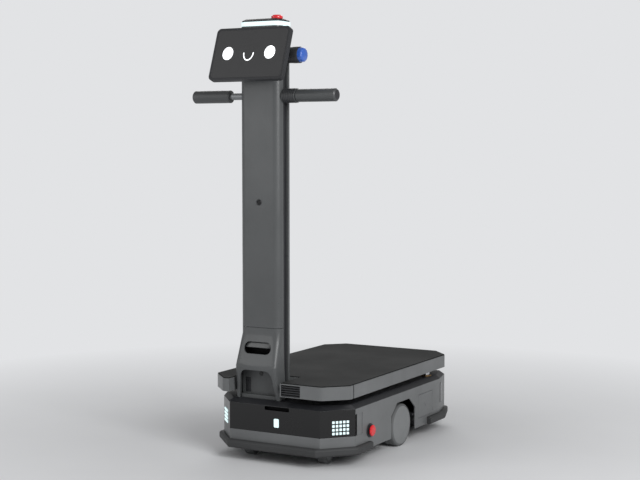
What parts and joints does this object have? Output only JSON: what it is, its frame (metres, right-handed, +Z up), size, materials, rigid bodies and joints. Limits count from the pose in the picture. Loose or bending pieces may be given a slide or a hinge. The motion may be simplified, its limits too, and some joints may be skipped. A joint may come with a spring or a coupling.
{
  "type": "autonomous mobile robot",
  "caption": "Wheeled delivery robot: low base with a lifting load platform, tall column, tilted face display, push handles and stop buttons.",
  "frame": {"origin": "on the floor, in the middle of the robot's outline in plan", "axes": "+Z up, -Y the way the robot faces and drives, +X the side with the blue call button"},
  "size_m": [0.57, 0.8694, 1.358],
  "materials": {
    "cover_grey": "satin",
    "panel_grey": "satin",
    "dark_plastic": "matte",
    "gloss_black": "gloss",
    "deck_dark": "satin",
    "bumper_rubber": "matte",
    "mat_rubber": "matte",
    "tyre_grey": "matte",
    "hub_grey": "satin",
    "frame_steel": "satin",
    "bright_steel": "brushed",
    "bronze": "satin",
    "battery_case": "matte",
    "aluminium": "satin",
    "red_plastic": "gloss",
    "blue_plastic": "gloss",
    "lamp_white": "emissive white",
    "lamp_smoke": "gloss",
    "screen_glass": "gloss",
    "lens_glass": "gloss",
    "grip_rubber": "matte"
  },
  "bodies": {
    "chassis": {"battery_pack": "battery_case", "bumper_front": "bumper_rubber", "bumper_rear": "bumper_rubber", "call_button_housing": "dark_plastic", "caster_plates": "bright_steel", "chassis_frame": "frame_steel", "column_base_cover": "cover_grey", "column_cameras": "lens_glass", "column_front_cover": "cover_grey", "column_mast": "dark_plastic", "column_rear_cover": "cover_grey", "controller_box": "aluminium", "display_bracket": "dark_plastic", "display_glass": "screen_glass", "display_housing": "dark_plastic", "drive_axles": "bright_steel", "drive_brackets": "frame_steel", "estop_seats": "dark_plastic", "front_fascia": "gloss_black", "front_lidar": "lens_glass", "front_lower_cover": "panel_grey", "handle_bar": "frame_steel", "handle_grips": "grip_rubber", "headlights": "lamp_white", "lift_actuator": "aluminium", "lift_bushes": "bronze", "light_band": "lamp_white", "rear_cover": "panel_grey", "recess_panel": "dark_plastic", "side_panel_left": "panel_grey", "side_panel_right": "panel_grey", "side_sensors": "lens_glass", "slot_window": "dark_plastic", "status_light": "lamp_white", "tail_lights": "lamp_smoke", "top_cap": "dark_plastic", "top_deck": "deck_dark"},
    "drive_wheel_left": {"drive_hub_left": "hub_grey", "drive_tyre_left": "tyre_grey"},
    "drive_wheel_right": {"drive_hub_right": "hub_grey", "drive_tyre_right": "tyre_grey"},
    "platform": {"platform_tray": "panel_grey", "platform_mat": "mat_rubber", "platform_louvre": "dark_plastic", "lift_posts": "bright_steel", "lift_screw": "bright_steel"},
    "top_stop": {"top_estop": "red_plastic"},
    "side_stop_left": {"side_estop_left": "red_plastic"},
    "side_stop_right": {"side_estop_right": "red_plastic"},
    "call_cap": {"call_button": "blue_plastic"},
    "door": {"access_door": "panel_grey"},
    "lock": {"door_lock": "bright_steel"},
    "swivel_front_left": {"caster_fork_front_left": "bright_steel"},
    "roller_front_left": {"caster_wheel_front_left": "tyre_grey"},
    "swivel_front_right": {"caster_fork_front_right": "bright_steel"},
    "roller_front_right": {"caster_wheel_front_right": "tyre_grey"},
    "swivel_rear_left": {"caster_fork_rear_left": "bright_steel"},
    "roller_rear_left": {"caster_wheel_rear_left": "tyre_grey"},
    "swivel_rear_right": {"caster_fork_rear_right": "bright_steel"},
    "roller_rear_right": {"caster_wheel_rear_right": "tyre_grey"}
  },
  "joints": [
    {"name": "drive_spin_left", "type": "hinge", "parent": "chassis", "child": "drive_wheel_left", "pos_m": [-0.172, 0.03625, 0.068], "axis": [1, 0, 0], "continuous": true},
    {"name": "drive_spin_right", "type": "hinge", "parent": "chassis", "child": "drive_wheel_right", "pos_m": [0.242, 0.03625, 0.068], "axis": [1, 0, 0], "continuous": true},
    {"name": "caster_swivel_front_left", "type": "hinge", "parent": "chassis", "child": "swivel_front_left", "pos_m": [-0.095, -0.31475, 0.078], "axis": [0, 0, 1], "continuous": true},
    {"name": "caster_roll_front_left", "type": "hinge", "parent": "swivel_front_left", "child": "roller_front_left", "pos_m": [-0.095, -0.29475, 0.028], "axis": [1, 0, 0], "continuous": true},
    {"name": "caster_swivel_front_right", "type": "hinge", "parent": "chassis", "child": "swivel_front_right", "pos_m": [0.165, -0.31475, 0.078], "axis": [0, 0, 1], "continuous": true},
    {"name": "caster_roll_front_right", "type": "hinge", "parent": "swivel_front_right", "child": "roller_front_right", "pos_m": [0.165, -0.29475, 0.028], "axis": [1, 0, 0], "continuous": true},
    {"name": "caster_swivel_rear_left", "type": "hinge", "parent": "chassis", "child": "swivel_rear_left", "pos_m": [-0.095, 0.31725, 0.078], "axis": [0, 0, 1], "continuous": true},
    {"name": "caster_roll_rear_left", "type": "hinge", "parent": "swivel_rear_left", "child": "roller_rear_left", "pos_m": [-0.095, 0.33725, 0.028], "axis": [1, 0, 0], "continuous": true},
    {"name": "caster_swivel_rear_right", "type": "hinge", "parent": "chassis", "child": "swivel_rear_right", "pos_m": [0.165, 0.31725, 0.078], "axis": [0, 0, 1], "continuous": true},
    {"name": "caster_roll_rear_right", "type": "hinge", "parent": "swivel_rear_right", "child": "roller_rear_right", "pos_m": [0.165, 0.33725, 0.028], "axis": [1, 0, 0], "continuous": true},
    {"name": "platform_lift", "type": "slide", "parent": "chassis", "child": "platform", "axis": [0, 0, 1], "range_m": [0, 0.06]},
    {"name": "top_stop_press", "type": "slide", "parent": "chassis", "child": "top_stop", "axis": [0, 0, -1], "range_m": [0, 0.004], "stiffness_N_per_m": 800, "springref_m": -0.001},
    {"name": "side_stop_press_left", "type": "slide", "parent": "chassis", "child": "side_stop_left", "axis": [1, 0, 0], "range_m": [0, 0.004], "stiffness_N_per_m": 800, "springref_m": -0.001},
    {"name": "side_stop_press_right", "type": "slide", "parent": "chassis", "child": "side_stop_right", "axis": [-1, 0, 0], "range_m": [0, 0.004], "stiffness_N_per_m": 800, "springref_m": -0.001},
    {"name": "call_press", "type": "slide", "parent": "chassis", "child": "call_cap", "axis": [-1, 0, 0], "range_m": [0, 0.005], "stiffness_N_per_m": 500, "springref_m": -0.001},
    {"name": "access_door_swing", "type": "hinge", "parent": "chassis", "child": "door", "pos_m": [0.2685, 0.25975, 0.108], "axis": [0, 0, 1], "range_deg": [0, 110]},
    {"name": "door_lock_turn", "type": "hinge", "parent": "door", "child": "lock", "pos_m": [0.2685, 0.20475, 0.108], "axis": [-1, 0, 0], "range_deg": [0, 90]}
  ]
}
